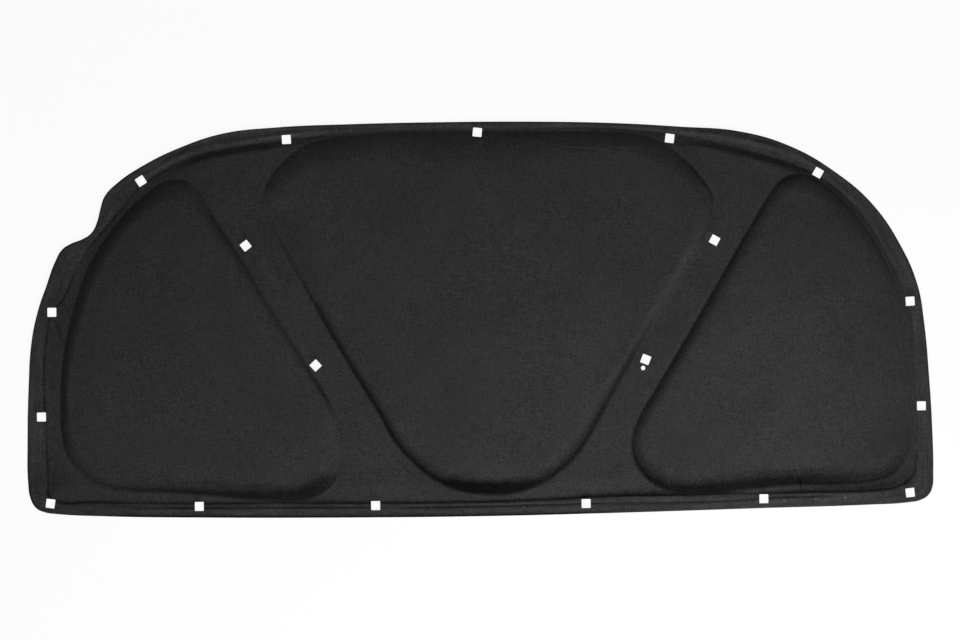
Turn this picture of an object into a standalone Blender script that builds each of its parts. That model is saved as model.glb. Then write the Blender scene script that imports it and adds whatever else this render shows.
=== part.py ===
"""Hood insulation pad: one moulded sheet of black needled felt.

The pad lies on its flat back with its moulded face up. Seen from above it is a wide D with a
nearly straight bottom edge and a notch in its left shoulder. The rim is pressed thin, a sunk
crease runs inside it, the ribs and corner lands are half pressed, and three lobes keep the
felt's full loft. Square holes for push clips go through the rim, the ribs and the corners.

Metres, +Z up. The pad's plan is centred on the Z axis and its back is at z = 0.
"""

import math

import bmesh
import bpy
from mathutils import Matrix, Vector

# Driving dimensions, in metres.
PAD_WIDTH = 1.3015
PAD_DEPTH = 0.5670
RIM_THICKNESS = 0.0040
LAND_THICKNESS = 0.0075
LOBE_THICKNESS = 0.0160
CREASE_WIDTH = 0.0035
CREASE_SINK = 0.0015
RIM_CHAMFER = 0.0010
LAND_WALL_RUN = 0.0040
LOBE_WALL_RUN = 0.0130
CLIP_HOLE_SIDE = 0.0130
PIN_HOLE_DIAMETER = 0.0065

# How finely the outlines and the lobe walls are divided.
STEPS_PER_SPAN = 3
LOBE_WALL_STEPS = 4
LAND_WALL_STEPS = 1
PIN_HOLE_SIDES = 16
SMOOTH_ANGLE = 35

# The drawing below is in millimetres, x to the right and y away from the straight edge. Each
# outline runs anticlockwise and a smooth curve joins its points.
DRAWN_OUTLINE = (
    (-612, -271.2), (-540, -275.5), (-400, -279), (-200, -281.5), (0, -282), (200, -279.5),
    (400, -275.5), (560, -272.3), (612, -269.8), (632, -266.2), (643.5, -258.5), (648.8, -247),
    (650, -230), (649.4, -165), (645.5, -85), (639.5, -10), (631, 42), (607, 100), (567, 160),
    (517, 204.5), (452, 243.5), (380, 266), (290, 274.5), (190, 281), (70, 284.3), (-60, 285),
    (-180, 283.8), (-290, 280.3), (-365, 272.5), (-425, 253.8), (-478, 229), (-519, 202),
    (-536, 184), (-542.5, 165), (-547, 148), (-555, 132.5), (-568, 123.5), (-585, 117),
    (-598, 108.5), (-608, 91.5), (-621, 57), (-634, 20), (-643.5, -24), (-648.5, -90),
    (-651, -170), (-650.8, -225), (-647.5, -249), (-639, -263), (-626, -269),
)
DRAWN_CREASE = (
    (-612, -251.5), (-560, -253.5), (-450, -256.5), (-300, -258), (-150, -259.5), (0, -260),
    (100, -257.5), (170, -254.5), (300, -253.5), (380, -252.5), (480, -252), (570, -250),
    (600, -245), (618, -232), (625, -210), (626.5, -170), (625, -120), (620.5, -50), (616.5, 10),
    (606, 42), (590, 77), (572, 112), (548, 147), (520, 176), (492, 198), (451, 218.2),
    (410.5, 231.6), (375.3, 241.3), (300.4, 258.9), (200.2, 271.3), (100, 273.3), (0, 274),
    (-100, 274.5), (-200, 268.5), (-300, 258), (-370, 248), (-415.5, 235.8), (-455, 215.5),
    (-488, 194), (-513.8, 161.7), (-549, 121), (-577, 82), (-595.3, 39), (-614, 15),
    (-622.3, -25), (-626.2, -78), (-624, -140), (-621.4, -225), (-620.5, -245),
)
DRAWN_LEFT_LOBE = (
    (-602, -120), (-600.5, -160), (-592, -190), (-572, -213), (-545, -230), (-505, -237.5),
    (-450, -240.5), (-400, -244.5), (-310, -254), (-265, -255.5), (-235, -247), (-213, -228),
    (-202, -200), (-201, -165), (-210, -129), (-247, -64.4), (-297, 17.8), (-339, 89),
    (-375.5, 146), (-389.5, 169), (-403, 192), (-420, 206), (-446, 205.5), (-474, 189),
    (-503, 163), (-533, 126), (-562, 78), (-581, 25), (-593.5, -23), (-600, -70),
)
DRAWN_CENTRE_LOBE = (
    (0, -249), (38, -249.2), (73, -240.7), (107, -221.7), (133.5, -198.5), (152.5, -173.5),
    (181, -123.5), (215, -62), (255, 8), (315, 108), (335, 147), (337.5, 176), (323, 204),
    (301, 230), (272, 250), (235, 263.5), (190, 268), (100, 270), (0, 271.5), (-100, 272),
    (-165, 269), (-215, 263), (-250, 252), (-277, 232), (-299, 205), (-309, 180), (-304, 152),
    (-283, 113), (-250.5, 52), (-195, -48), (-144, -134.5), (-122, -174), (-96, -203.5),
    (-67, -227.5), (-34.5, -243),
)
DRAWN_RIGHT_LOBE = (
    (218, -172), (220.5, -200), (233, -223), (253, -240.5), (282, -251.5), (325, -253),
    (362, -249.5), (400, -245), (455, -241.5), (525, -240.5), (565, -236.5), (592, -226),
    (611, -205), (620, -172), (621, -120), (617, -50), (613, 5), (603, 38), (587, 74),
    (569, 109), (545, 144), (517, 173), (490, 194), (463, 204), (440.5, 198.3), (422.5, 179.5),
    (403, 149), (344, 50), (314, -1.2), (283.5, -52), (253.5, -101), (228, -144),
)

# Clip holes: place on the drawing in millimetres, and turn in degrees.
CLIP_HOLES = (
    (0.9, 269.8, -6), (-273.6, 262.9, 2), (277.3, 257.7, -8), (-483.5, 205.9, 33),
    (489.9, 205.6, -30), (-333.9, 110.9, 38), (339.9, 110.5, -29), (-613.8, 18.7, 0),
    (620.0, 19.3, 3), (-235.5, -62.4, 43), (238.9, -59.7, -22), (-630.6, -131.6, 0),
    (634.3, -131.3, 0), (-619.1, -256.2, -8), (616.6, -255.8, 6), (-405.3, -263.0, 0),
    (406.2, -262.0, 0), (-151.9, -264.9, 0), (150.7, -265.7, 0),
)
PIN_HOLE = (234.9, -71.9)

FELT_COLOUR = (0.027, 0.027, 0.027, 1.0)
FELT_ROUGHNESS = 0.95


def clear_scene():
    for item in list(bpy.data.objects):
        bpy.data.objects.remove(item, do_unlink=True)


def new_collection(name):
    collection = bpy.data.collections.new(name)
    bpy.context.scene.collection.children.link(collection)
    return collection


def filled_outline(name, drawn_points, to_pad):
    """A flat filled curve through the drawn points, as a mesh of one many-sided face."""
    curve = bpy.data.curves.new(name, "CURVE")
    curve.dimensions = "2D"
    curve.fill_mode = "BOTH"
    curve.resolution_u = STEPS_PER_SPAN
    spline = curve.splines.new("BEZIER")
    spline.bezier_points.add(len(drawn_points) - 1)
    spline.use_cyclic_u = True
    for knot, drawn in zip(spline.bezier_points, drawn_points):
        knot.co = (*drawn, 0.0)
        knot.handle_left_type = "AUTO"
        knot.handle_right_type = "AUTO"
    holder = bpy.data.objects.new(name, curve)
    bpy.context.scene.collection.objects.link(holder)
    bpy.context.view_layer.update()
    evaluated = holder.evaluated_get(bpy.context.evaluated_depsgraph_get())
    mesh = bpy.data.meshes.new_from_object(evaluated)
    bpy.data.objects.remove(holder, do_unlink=True)
    bpy.data.curves.remove(curve)

    sheet = bmesh.new()
    sheet.from_mesh(mesh)
    bmesh.ops.remove_doubles(sheet, verts=sheet.verts, dist=0.00001)
    inner_edges = [edge for edge in sheet.edges if len(edge.link_faces) == 2]
    bmesh.ops.dissolve_edges(sheet, edges=inner_edges, use_verts=False)
    face = sheet.faces[:][0]
    if face.normal.z < 0:
        face.normal_flip()
    bmesh.ops.transform(sheet, matrix=to_pad, verts=sheet.verts)
    bpy.data.meshes.remove(mesh)
    return sheet


def drawing_to_pad():
    """The matrix from the drawing to the pad, which centres and sizes the outline."""
    sheet = filled_outline("measured_outline", DRAWN_OUTLINE, Matrix.Identity(4))
    xs = [vertex.co.x for vertex in sheet.verts]
    ys = [vertex.co.y for vertex in sheet.verts]
    sheet.free()
    centre = Matrix.Translation((-(min(xs) + max(xs)) / 2, -(min(ys) + max(ys)) / 2, 0.0))
    along_x = PAD_WIDTH / (max(xs) - min(xs))
    along_y = PAD_DEPTH / (max(ys) - min(ys))
    return Matrix.Diagonal((along_x, along_y, 1.0, 1.0)) @ centre


def trim_inside(sheet, margin):
    """Replace the sheet's face by the same outline drawn in by a margin."""
    ring = bmesh.ops.inset_region(
        sheet, faces=sheet.faces[:], thickness=margin, use_even_offset=True, use_boundary=True
    )
    bmesh.ops.delete(sheet, geom=ring["faces"], context="FACES")


def raise_prism(sheet, bottom, foot):
    """Thicken the sheet's face into a prism between two heights, and return its top face."""
    bmesh.ops.translate(sheet, verts=sheet.verts, vec=(0, 0, bottom))
    floor = sheet.faces[:][0]
    grown = bmesh.ops.extrude_face_region(sheet, geom=[floor], use_keep_orig=True)
    top_verts = [item for item in grown["geom"] if isinstance(item, bmesh.types.BMVert)]
    top_face = [item for item in grown["geom"] if isinstance(item, bmesh.types.BMFace)][0]
    bmesh.ops.translate(sheet, verts=top_verts, vec=(0, 0, foot - bottom))
    floor.normal_flip()
    return top_face


def raise_wall(sheet, top_face, run, rise, steps):
    """Inset the top face in steps, lifting it along a soft S as the felt leaves the press."""
    for step in range(steps):
        climbed = rise * (s_curve((step + 1) / steps) - s_curve(step / steps))
        bmesh.ops.inset_region(
            sheet, faces=[top_face], thickness=run / steps, depth=climbed, use_even_offset=True
        )


def s_curve(share):
    return share * share * (3 - 2 * share) if 0 < share < 1 else float(share >= 1)


def to_object(sheet, name, collection):
    mesh = bpy.data.meshes.new(name)
    bmesh.ops.recalc_face_normals(sheet, faces=sheet.faces[:])
    sheet.to_mesh(mesh)
    sheet.free()
    body = bpy.data.objects.new(name, mesh)
    collection.objects.link(body)
    return body


def as_guide(body):
    body.hide_render = True
    body.display_type = "WIRE"
    return body


def combine(body, other, operation):
    """Apply an exact Boolean to the body, with the other shape as its guide."""
    modifier = body.modifiers.new(operation.lower(), "BOOLEAN")
    modifier.operation = operation
    modifier.solver = "EXACT"
    modifier.object = other
    bpy.context.view_layer.update()
    evaluated = body.evaluated_get(bpy.context.evaluated_depsgraph_get())
    result = bpy.data.meshes.new_from_object(evaluated)
    body.modifiers.remove(modifier)
    body.data = result


def rim_plate(to_pad, collection):
    """The whole sheet at its rim's pressed thickness, with a chamfered upper edge."""
    sheet = filled_outline("rim", DRAWN_OUTLINE, to_pad)
    top = raise_prism(sheet, 0.0, RIM_THICKNESS - RIM_CHAMFER)
    raise_wall(sheet, top, RIM_CHAMFER, RIM_CHAMFER, 1)
    return to_object(sheet, "insulation_pad", collection)


def sunk_bed(name, drawn_points, to_pad, floor, guides):
    """A cutter that sinks the area inside an outline down to a crease's floor."""
    sheet = filled_outline(name, drawn_points, to_pad)
    raise_prism(sheet, floor, LOBE_THICKNESS * 2)
    return as_guide(to_object(sheet, name, guides))


def raised_field(name, drawn_points, to_pad, foot, top, wall_run, wall_steps, guides):
    """A land or a lobe: it stands inside its crease and its wall leans in to a flat top."""
    sheet = filled_outline(name, drawn_points, to_pad)
    trim_inside(sheet, CREASE_WIDTH)
    top_face = raise_prism(sheet, RIM_THICKNESS / 4, foot)
    raise_wall(sheet, top_face, wall_run, top - foot, wall_steps)
    return as_guide(to_object(sheet, name, guides))


def hole_place(drawn_x, drawn_y, to_pad):
    """Where a hole's middle lies on the pad, as a matrix."""
    return Matrix.Translation(to_pad @ Vector((drawn_x, drawn_y, 0.0)))


def clip_hole_cutters(to_pad, guides):
    """Square punches for the clips and one small round punch, as one cutter."""
    punches = bmesh.new()
    height = LOBE_THICKNESS * 3
    for drawn_x, drawn_y, turn in CLIP_HOLES:
        place = hole_place(drawn_x, drawn_y, to_pad)
        spin = Matrix.Rotation(math.radians(turn), 4, "Z")
        size = Matrix.Diagonal((CLIP_HOLE_SIDE, CLIP_HOLE_SIDE, height, 1.0))
        bmesh.ops.create_cube(punches, size=1.0, matrix=place @ spin @ size)
    bmesh.ops.create_cone(
        punches,
        cap_ends=True,
        segments=PIN_HOLE_SIDES,
        radius1=PIN_HOLE_DIAMETER / 2,
        radius2=PIN_HOLE_DIAMETER / 2,
        depth=height,
        matrix=hole_place(*PIN_HOLE, to_pad),
    )
    return as_guide(to_object(punches, "clip_hole_punches", guides))


def felt_material():
    material = bpy.data.materials.new("black_needled_felt")
    material.use_nodes = True
    shader = material.node_tree.nodes["Principled BSDF"]
    shader.inputs["Base Color"].default_value = FELT_COLOUR
    shader.inputs["Roughness"].default_value = FELT_ROUGHNESS
    shader.inputs["Metallic"].default_value = 0.0
    return material


def build_pad():
    pads = new_collection("hood_insulation_pad")
    guides = new_collection("guides")
    to_pad = drawing_to_pad()
    pad = rim_plate(to_pad, pads)

    rim_crease_floor = RIM_THICKNESS - CREASE_SINK
    bed = sunk_bed("rim_crease_bed", DRAWN_CREASE, to_pad, rim_crease_floor, guides)
    combine(pad, bed, "DIFFERENCE")
    land = raised_field(
        "land", DRAWN_CREASE, to_pad, rim_crease_floor, LAND_THICKNESS, LAND_WALL_RUN,
        LAND_WALL_STEPS, guides,
    )
    combine(pad, land, "UNION")

    lobe_foot = LAND_THICKNESS - CREASE_SINK
    lobes = {
        "left_lobe": DRAWN_LEFT_LOBE,
        "centre_lobe": DRAWN_CENTRE_LOBE,
        "right_lobe": DRAWN_RIGHT_LOBE,
    }
    for name, drawn_points in lobes.items():
        bed = sunk_bed(name + "_bed", drawn_points, to_pad, lobe_foot, guides)
        combine(pad, bed, "DIFFERENCE")
    for name, drawn_points in lobes.items():
        lobe = raised_field(
            name, drawn_points, to_pad, lobe_foot, LOBE_THICKNESS, LOBE_WALL_RUN,
            LOBE_WALL_STEPS, guides,
        )
        combine(pad, lobe, "UNION")

    combine(pad, clip_hole_cutters(to_pad, guides), "DIFFERENCE")
    pad.data.materials.clear()
    pad.data.materials.append(felt_material())
    pad.data.shade_smooth()
    pad.data.set_sharp_from_angle(angle=math.radians(SMOOTH_ANGLE))


clear_scene()
build_pad()
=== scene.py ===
# %% [markdown]
# # A moulded hood insulation pad
#
# This pad hangs under a car's hood, where it keeps heat from the paint and soaks up engine noise.
# A blank of black needled felt is pressed between two hot moulds. The rim, the crease inside it and
# the ribs come out thin and hard, and three wide lobes keep the felt's full loft. Square holes take
# the push clips that hold the pad.
#
# The script follows the factory: it draws the mould's lines, lays a fine net of triangles between
# them, and then presses every point of the net down to the height that the mould leaves there.

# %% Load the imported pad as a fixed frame
import math

import bmesh
import bpy
import numpy as np
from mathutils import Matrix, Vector, noise
from mathutils.geometry import delaunay_2d_cdt
from mathutils.kdtree import KDTree


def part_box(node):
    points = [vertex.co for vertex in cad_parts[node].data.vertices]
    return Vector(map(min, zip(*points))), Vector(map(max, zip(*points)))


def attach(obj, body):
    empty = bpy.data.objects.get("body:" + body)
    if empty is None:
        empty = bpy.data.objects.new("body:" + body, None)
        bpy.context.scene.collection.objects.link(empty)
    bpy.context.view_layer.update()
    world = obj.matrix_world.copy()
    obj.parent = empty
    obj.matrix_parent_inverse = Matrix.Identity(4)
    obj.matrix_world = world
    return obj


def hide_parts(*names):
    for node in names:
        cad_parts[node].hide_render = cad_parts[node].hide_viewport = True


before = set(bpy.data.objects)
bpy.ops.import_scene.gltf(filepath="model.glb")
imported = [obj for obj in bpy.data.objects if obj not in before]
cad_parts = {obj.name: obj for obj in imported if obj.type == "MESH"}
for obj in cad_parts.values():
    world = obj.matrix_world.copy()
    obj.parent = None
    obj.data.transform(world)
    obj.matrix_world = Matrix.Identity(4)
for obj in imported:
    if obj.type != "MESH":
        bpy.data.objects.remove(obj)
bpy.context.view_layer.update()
pad_low, pad_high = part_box("insulation_pad")
MM = 0.001
print("CAD box in mm:", [round(size / MM, 1) for size in pad_high - pad_low])

# %% [markdown]
# ## The mould's lines
#
# The pad's shape is free-form, so its lines are drawn as an artist would: a few points on each line,
# placed where the line turns, and a smooth curve through them. They are in millimetres, with x to
# the right and y away from the straight edge, and each line runs anticlockwise.

# %% The five lines of the mould
DRAWN_OUTLINE = (
    (-612, -271.2), (-540, -275.5), (-400, -279), (-200, -281.5), (0, -282), (200, -279.5),
    (400, -275.5), (560, -272.3), (612, -269.8), (632, -266.2), (643.5, -258.5), (648.8, -247),
    (650, -230), (649.4, -165), (645.5, -85), (639.5, -10), (631, 42), (607, 100), (567, 160),
    (517, 204.5), (452, 243.5), (380, 266), (290, 274.5), (190, 281), (70, 284.3), (-60, 285),
    (-180, 283.8), (-290, 280.3), (-365, 272.5), (-425, 253.8), (-478, 229), (-519, 202),
    (-536, 184), (-542.5, 165), (-547, 148), (-555, 132.5), (-568, 123.5), (-585, 117),
    (-598, 108.5), (-608, 91.5), (-621, 57), (-634, 20), (-643.5, -24), (-648.5, -90),
    (-651, -170), (-650.8, -225), (-647.5, -249), (-639, -263), (-626, -269),
)
DRAWN_CREASE = (
    (-612, -251.5), (-560, -253.5), (-450, -256.5), (-300, -258), (-150, -259.5), (0, -260),
    (100, -257.5), (170, -254.5), (300, -253.5), (380, -252.5), (480, -252), (570, -250),
    (600, -245), (618, -232), (625, -210), (626.5, -170), (625, -120), (620.5, -50), (616.5, 10),
    (606, 42), (590, 77), (572, 112), (548, 147), (520, 176), (492, 198), (451, 218.2),
    (410.5, 231.6), (375.3, 241.3), (300.4, 258.9), (200.2, 271.3), (100, 273.3), (0, 274),
    (-100, 274.5), (-200, 268.5), (-300, 258), (-370, 248), (-415.5, 235.8), (-455, 215.5),
    (-488, 194), (-513.8, 161.7), (-549, 121), (-577, 82), (-595.3, 39), (-614, 15),
    (-622.3, -25), (-626.2, -78), (-624, -140), (-621.4, -225), (-620.5, -245),
)
DRAWN_LEFT_LOBE = (
    (-602, -120), (-600.5, -160), (-592, -190), (-572, -213), (-545, -230), (-505, -237.5),
    (-450, -240.5), (-400, -244.5), (-310, -254), (-265, -255.5), (-235, -247), (-213, -228),
    (-202, -200), (-201, -165), (-210, -129), (-247, -64.4), (-297, 17.8), (-339, 89),
    (-375.5, 146), (-389.5, 169), (-403, 192), (-420, 206), (-446, 205.5), (-474, 189),
    (-503, 163), (-533, 126), (-562, 78), (-581, 25), (-593.5, -23), (-600, -70),
)
DRAWN_CENTRE_LOBE = (
    (0, -249), (38, -249.2), (73, -240.7), (107, -221.7), (133.5, -198.5), (152.5, -173.5),
    (181, -123.5), (215, -62), (255, 8), (315, 108), (335, 147), (336.5, 175), (320.5, 201.5),
    (297.5, 227.5), (271, 248.5), (235, 263.5), (190, 268), (100, 270), (0, 271.5), (-100, 272),
    (-165, 269), (-215, 263), (-250, 252), (-277, 232), (-299, 205), (-309, 180), (-304, 152),
    (-283, 113), (-250.5, 52), (-195, -48), (-144, -134.5), (-122, -174), (-96, -203.5),
    (-67, -227.5), (-34.5, -243),
)
DRAWN_RIGHT_LOBE = (
    (218, -172), (220.5, -200), (233, -223), (253, -240.5), (282, -251.5), (325, -253),
    (362, -249.5), (400, -245), (455, -241.5), (525, -240.5), (565, -236.5), (592, -226),
    (611, -205), (620, -172), (621, -120), (617, -50), (613, 5), (603, 38), (587, 74),
    (569, 109), (545, 144), (517, 173), (490, 194), (463, 204), (440.5, 198.3), (422.5, 179.5),
    (403, 149), (344, 50), (314, -1.2), (283.5, -52), (253.5, -101), (228, -144),
)

# %% The clip holes: place on the drawing in millimetres, and turn in degrees
CLIP_HOLES = (
    (0.9, 269.8, -6), (-273.6, 262.9, 2), (277.3, 257.7, -8), (-483.5, 205.9, 33),
    (489.9, 205.6, -30), (-333.9, 110.9, 38), (339.9, 110.5, -29), (-613.8, 18.7, 0),
    (620.0, 19.3, 3), (-235.5, -62.4, 43), (238.9, -59.7, -22), (-630.6, -131.6, 0),
    (634.3, -131.3, 0), (-619.1, -256.2, -8), (616.6, -255.8, 6), (-405.3, -263.0, 0),
    (406.2, -262.0, 0), (-151.9, -264.9, 0), (150.7, -265.7, 0),
)
CLIP_HOLE_SIDE = 13.0 * MM
CLIP_HOLE_CORNER = 0.9 * MM
PIN_HOLE = (234.9, -71.9)
PIN_HOLE_RADIUS = 3.25 * MM
print("Clip holes:", len(CLIP_HOLES))

# %% [markdown]
# ## From drawn points to even loops
#
# Blender's own Bezier curve with automatic handles makes the smooth line, and converting it to a
# mesh gives points along it. Those points are then spaced evenly, because the net of triangles needs
# steps of one length. The whole drawing is laid on the CAD pad by matching the two outlines' boxes,
# so the dressed pad can't drift from the CAD one.


# %% Smooth a drawn line with a Bezier curve
def smooth_line(drawn_points, steps_per_span=12):
    curve = bpy.data.curves.new("drawn_line", "CURVE")
    curve.dimensions = "3D"
    curve.resolution_u = steps_per_span
    spline = curve.splines.new("BEZIER")
    spline.bezier_points.add(len(drawn_points) - 1)
    spline.use_cyclic_u = True
    for knot, drawn in zip(spline.bezier_points, drawn_points):
        knot.co = (*drawn, 0.0)
        knot.handle_left_type = "AUTO"
        knot.handle_right_type = "AUTO"
    line = bpy.data.objects.new("drawn_line", curve)
    bpy.context.scene.collection.objects.link(line)
    bpy.ops.object.select_all(action="DESELECT")
    line.select_set(True)
    bpy.context.view_layer.objects.active = line
    bpy.ops.object.convert(target="MESH")
    line = bpy.context.view_layer.objects.active
    points = np.array([vertex.co.xy for vertex in line.data.vertices])
    bpy.data.objects.remove(line, do_unlink=True)
    return points


# %% Lay the drawing on the CAD pad
measured_outline = smooth_line(DRAWN_OUTLINE)
drawing_low = measured_outline.min(axis=0)
drawing_size = measured_outline.max(axis=0) - drawing_low
plan_low = np.array(pad_low.xy)
plan_size = np.array(pad_high.xy) - plan_low
print("Drawing in mm:", drawing_size.round(1), "CAD pad in mm:", (plan_size / MM).round(1))


def on_pad(drawn_points):
    return plan_low + (np.asarray(drawn_points, float) - drawing_low) * plan_size / drawing_size


# %% Space a closed line's points evenly
def distances_along(points):
    spans = np.linalg.norm(np.diff(points, axis=0), axis=1)
    return np.concatenate(([0.0], np.cumsum(spans)))


def places_at(stations, along, points):
    return np.column_stack([np.interp(stations, along, points[:, axis]) for axis in (0, 1)])


def even_loop(points, spacing):
    closed = np.vstack((points, points[:1]))
    along = distances_along(closed)
    count = round(along[-1] / spacing)
    return places_at(np.arange(count) * along[-1] / count, along, closed)


# %% [markdown]
# A mould maker works with distances from a line: a wall starts at the line and ends so many
# millimetres inside it. A `Ruler` holds one loop, and tells for any place how far inside the loop it
# lies and which point of the loop is nearest. A k-d tree finds that point quickly.


# %% A ruler along each line
def plan_tree(points):
    tree = KDTree(len(points))
    for number, (x, y) in enumerate(points):
        tree.insert((x, y, 0.0), number)
    tree.balance()
    return tree


class Ruler:
    def __init__(self, points):
        self.points = points
        ahead = np.roll(points, -1, axis=0) - np.roll(points, 1, axis=0)
        self.ahead = ahead / np.linalg.norm(ahead, axis=1)[:, None]
        self.inward = np.column_stack((-self.ahead[:, 1], self.ahead[:, 0]))
        self.half_step = np.linalg.norm(points[1] - points[0]) / 2
        self.tree = plan_tree(points)

    def row(self, inset):
        """The loop drawn in by a small distance, point for point."""
        return self.points + self.inward * inset

    def measure(self, places):
        """How far inside the loop each place lies, and the number of the nearest loop point."""
        nearest = np.array([self.tree.find((x, y, 0.0))[1] for x, y in places])
        offset = places - self.points[nearest]
        slide = (offset * self.ahead[nearest]).sum(axis=1)
        slide = np.clip(slide, -self.half_step, self.half_step)
        gap = offset - self.ahead[nearest] * slide[:, None]
        side = np.where((gap * self.inward[nearest]).sum(axis=1) < 0, -1.0, 1.0)
        return side * np.linalg.norm(gap, axis=1), nearest


LINE_STEP = 2.2 * MM
outline, crease, left_lobe, centre_lobe, right_lobe = (
    Ruler(even_loop(on_pad(smooth_line(drawn)), LINE_STEP))
    for drawn in (
        DRAWN_OUTLINE, DRAWN_CREASE, DRAWN_LEFT_LOBE, DRAWN_CENTRE_LOBE, DRAWN_RIGHT_LOBE,
    )
)
print("Outline, round the edge, in mm:", round(len(outline.points) * LINE_STEP / MM))

# %% [markdown]
# ## The mould's depths
#
# These are the real thicknesses of the felt in millimetres. The lobes' walls are not the same all
# round: they are steep where a rib runs beside them and lie back where the felt had room. Each list
# of walls notes that at a few places round its lobe: x, y, the wall's run in millimetres, from 0 to
# 1 how dark the painted shade at its foot is, standing in for the shade that falls there, and how
# far that painted shade reaches up the wall. The crease has no run, so its own list gives x, y, how
# far its painted shade reaches and how dark it is.

# %% Thicknesses and the notes on each line
RIM_THICKNESS = 4.0
LAND_THICKNESS = 7.5
LOBE_THICKNESS = 16.0
CREASE_SINK = 1.5
LOBE_CROWN = 0.5

LEFT_WALL = (
    (-603, -120, 13, 0.0, 10), (-592, -190, 18, 0.2, 18), (-545, -230, 15, 0.52, 16),
    (-450, -241, 15, 0.79, 19), (-350, -250, 16, 0.8, 24), (-290, -255, 18, 0.78, 28),
    (-265, -255, 18, 0.8, 31), (-235, -247, 18, 0.8, 34), (-213, -228, 18, 0.68, 30),
    (-203, -205, 30, 0.0, 8), (-202, -160, 34, 0.05, 6), (-212, -128, 15, 0.25, 6),
    (-225, -107, 12, 0.55, 6), (-250, -66, 12, 0.35, 6), (-275, -25, 13, 0.25, 8),
    (-320, 50, 14, 0.25, 9), (-376, 146, 18, 0.52, 12), (-402, 190, 28, 0.12, 14),
    (-421, 206, 34, 0.15, 16), (-446, 205, 34, 0.08, 16), (-474, 189, 24, 0.0, 14),
    (-503, 163, 21, 0.0, 14), (-533, 126, 20, 0.0, 12), (-562, 78, 20, 0.0, 12),
    (-582, 25, 18, 0.0, 12), (-595, -23, 14, 0.0, 12),
)
CENTRE_WALL = (
    (0, -249, 17, 0.92, 24), (38, -248, 17, 0.91, 25), (73, -239, 20, 0.88, 22),
    (106, -221, 26, 0.85, 18), (132, -197, 25, 0.83, 16), (152, -173, 25, 0.77, 15),
    (182, -124, 25, 0.72, 13), (215, -62, 13, 0.6, 6), (235, -28, 12, 0.3, 5),
    (255, 8, 11, 0.15, 4), (275, 40, 10, 0.05, 4), (315, 108, 10, 0.0, 4),
    (336, 176, 34, 0.38, 4), (320, 201, 22, 0.5, 8), (297, 227, 30, 0.3, 12),
    (272, 250, 34, 0.05, 10), (235, 263, 32, 0.05, 10), (190, 268, 26, 0.0, 8),
    (100, 270, 46, 0.15, 10), (-60, 272, 50, 0.15, 10), (-100, 272, 50, 0.2, 12),
    (-165, 269, 42, 0.1, 10), (-215, 263, 36, 0.05, 10), (-250, 252, 36, 0.05, 10),
    (-277, 232, 34, 0.15, 14), (-299, 205, 24, 0.15, 12), (-309, 178, 36, 0.1, 8),
    (-304, 152, 80, 0.0, 6), (-283, 113, 60, 0.28, 5), (-265, 80, 44, 0.3, 5),
    (-250, 52, 26, 0.48, 6), (-222, 0, 19, 0.69, 10), (-195, -48, 17, 0.74, 9),
    (-145, -135, 16, 0.81, 13), (-123, -175, 15, 0.84, 13), (-98, -205, 16, 0.87, 16),
    (-68, -229, 17, 0.86, 20), (-35, -244, 17, 0.91, 23),
)
RIGHT_WALL = (
    (218, -172, 16, 0.4, 13), (221, -200, 18, 0.78, 19), (234, -222, 20, 0.87, 22),
    (254, -239, 22, 0.86, 24), (283, -249, 25, 0.83, 26), (325, -251, 24, 0.85, 28),
    (362, -248, 22, 0.83, 28), (400, -243, 20, 0.83, 28), (455, -240, 18, 0.84, 27),
    (525, -240, 22, 0.68, 26), (565, -236, 32, 0.47, 25), (592, -226, 36, 0.45, 24),
    (611, -205, 40, 0.28, 18), (620, -172, 40, 0.1, 10), (621, -120, 50, 0.0, 6),
    (617, -50, 60, 0.05, 4), (613, 5, 60, 0.0, 4), (603, 38, 55, 0.08, 6),
    (587, 74, 38, 0.28, 8), (569, 109, 34, 0.22, 10), (545, 144, 34, 0.1, 10),
    (517, 173, 30, 0.2, 10), (490, 194, 28, 0.05, 12), (463, 204, 26, 0.12, 12),
    (440, 199, 20, 0.3, 9), (422, 180, 20, 0.4, 10), (403, 149, 20, 0.45, 10),
    (375, 102, 19, 0.55, 10), (344, 49, 18, 0.45, 11), (310, 2, 18, 0.45, 12),
    (284, -52, 17, 0.48, 12), (252, -100, 17, 0.45, 11), (228, -144, 16, 0.35, 12),
)
CREASE_PAINTED_SHADE = (
    (-580, -253, 3.5, 0.65), (-500, -255, 4, 0.35), (-350, -258, 3.5, 0.55),
    (-270, -258, 9, 0.55), (-220, -259, 9, 0.55), (-170, -259.5, 3.5, 0.6),
    (-100, -260, 3.5, 0.6), (50, -259, 4, 0.65), (100, -257, 4, 0.65), (240, -254, 12, 0.82),
    (350, -253, 14, 0.9), (378, -253, 4, 0.6), (395, -253, 2, 0.2), (412, -253, 3, 0.55),
    (450, -252, 9, 0.78), (560, -250, 14, 0.68), (605, -243, 9, 0.5), (625, -210, 5, 0.3),
    (626, -170, 5, 0.2), (620, -50, 4, 0.35), (606, 42, 6, 0.25), (572, 112, 9, 0.36),
    (520, 176, 10, 0.72), (475, 207, 14, 0.68), (450, 217, 14, 0.68), (410, 231, 7, 0.6),
    (375, 241, 5, 0.52), (310, 257, 5, 0.48), (230, 268, 5, 0.45), (150, 272, 4, 0.35),
    (0, 274, 4, 0.2), (-150, 271, 4, 0.35), (-240, 264, 4, 0.45), (-320, 256, 4, 0.5),
    (-370, 248, 4, 0.5), (-415, 235, 4, 0.55), (-455, 215, 5, 0.68), (-480, 200, 5, 0.5),
    (-515, 162, 4, 0.25),
    (-577, 82, 4, 0.2), (-587, 60, 4, 0.7), (-596, 39, 4, 0.85), (-606, 24, 4, 0.7),
    (-621, -25, 3.5, 0.6), (-625, -110, 4, 0.45), (-623, -200, 4, 0.55), (-612, -250, 4, 0.5),
)
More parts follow.
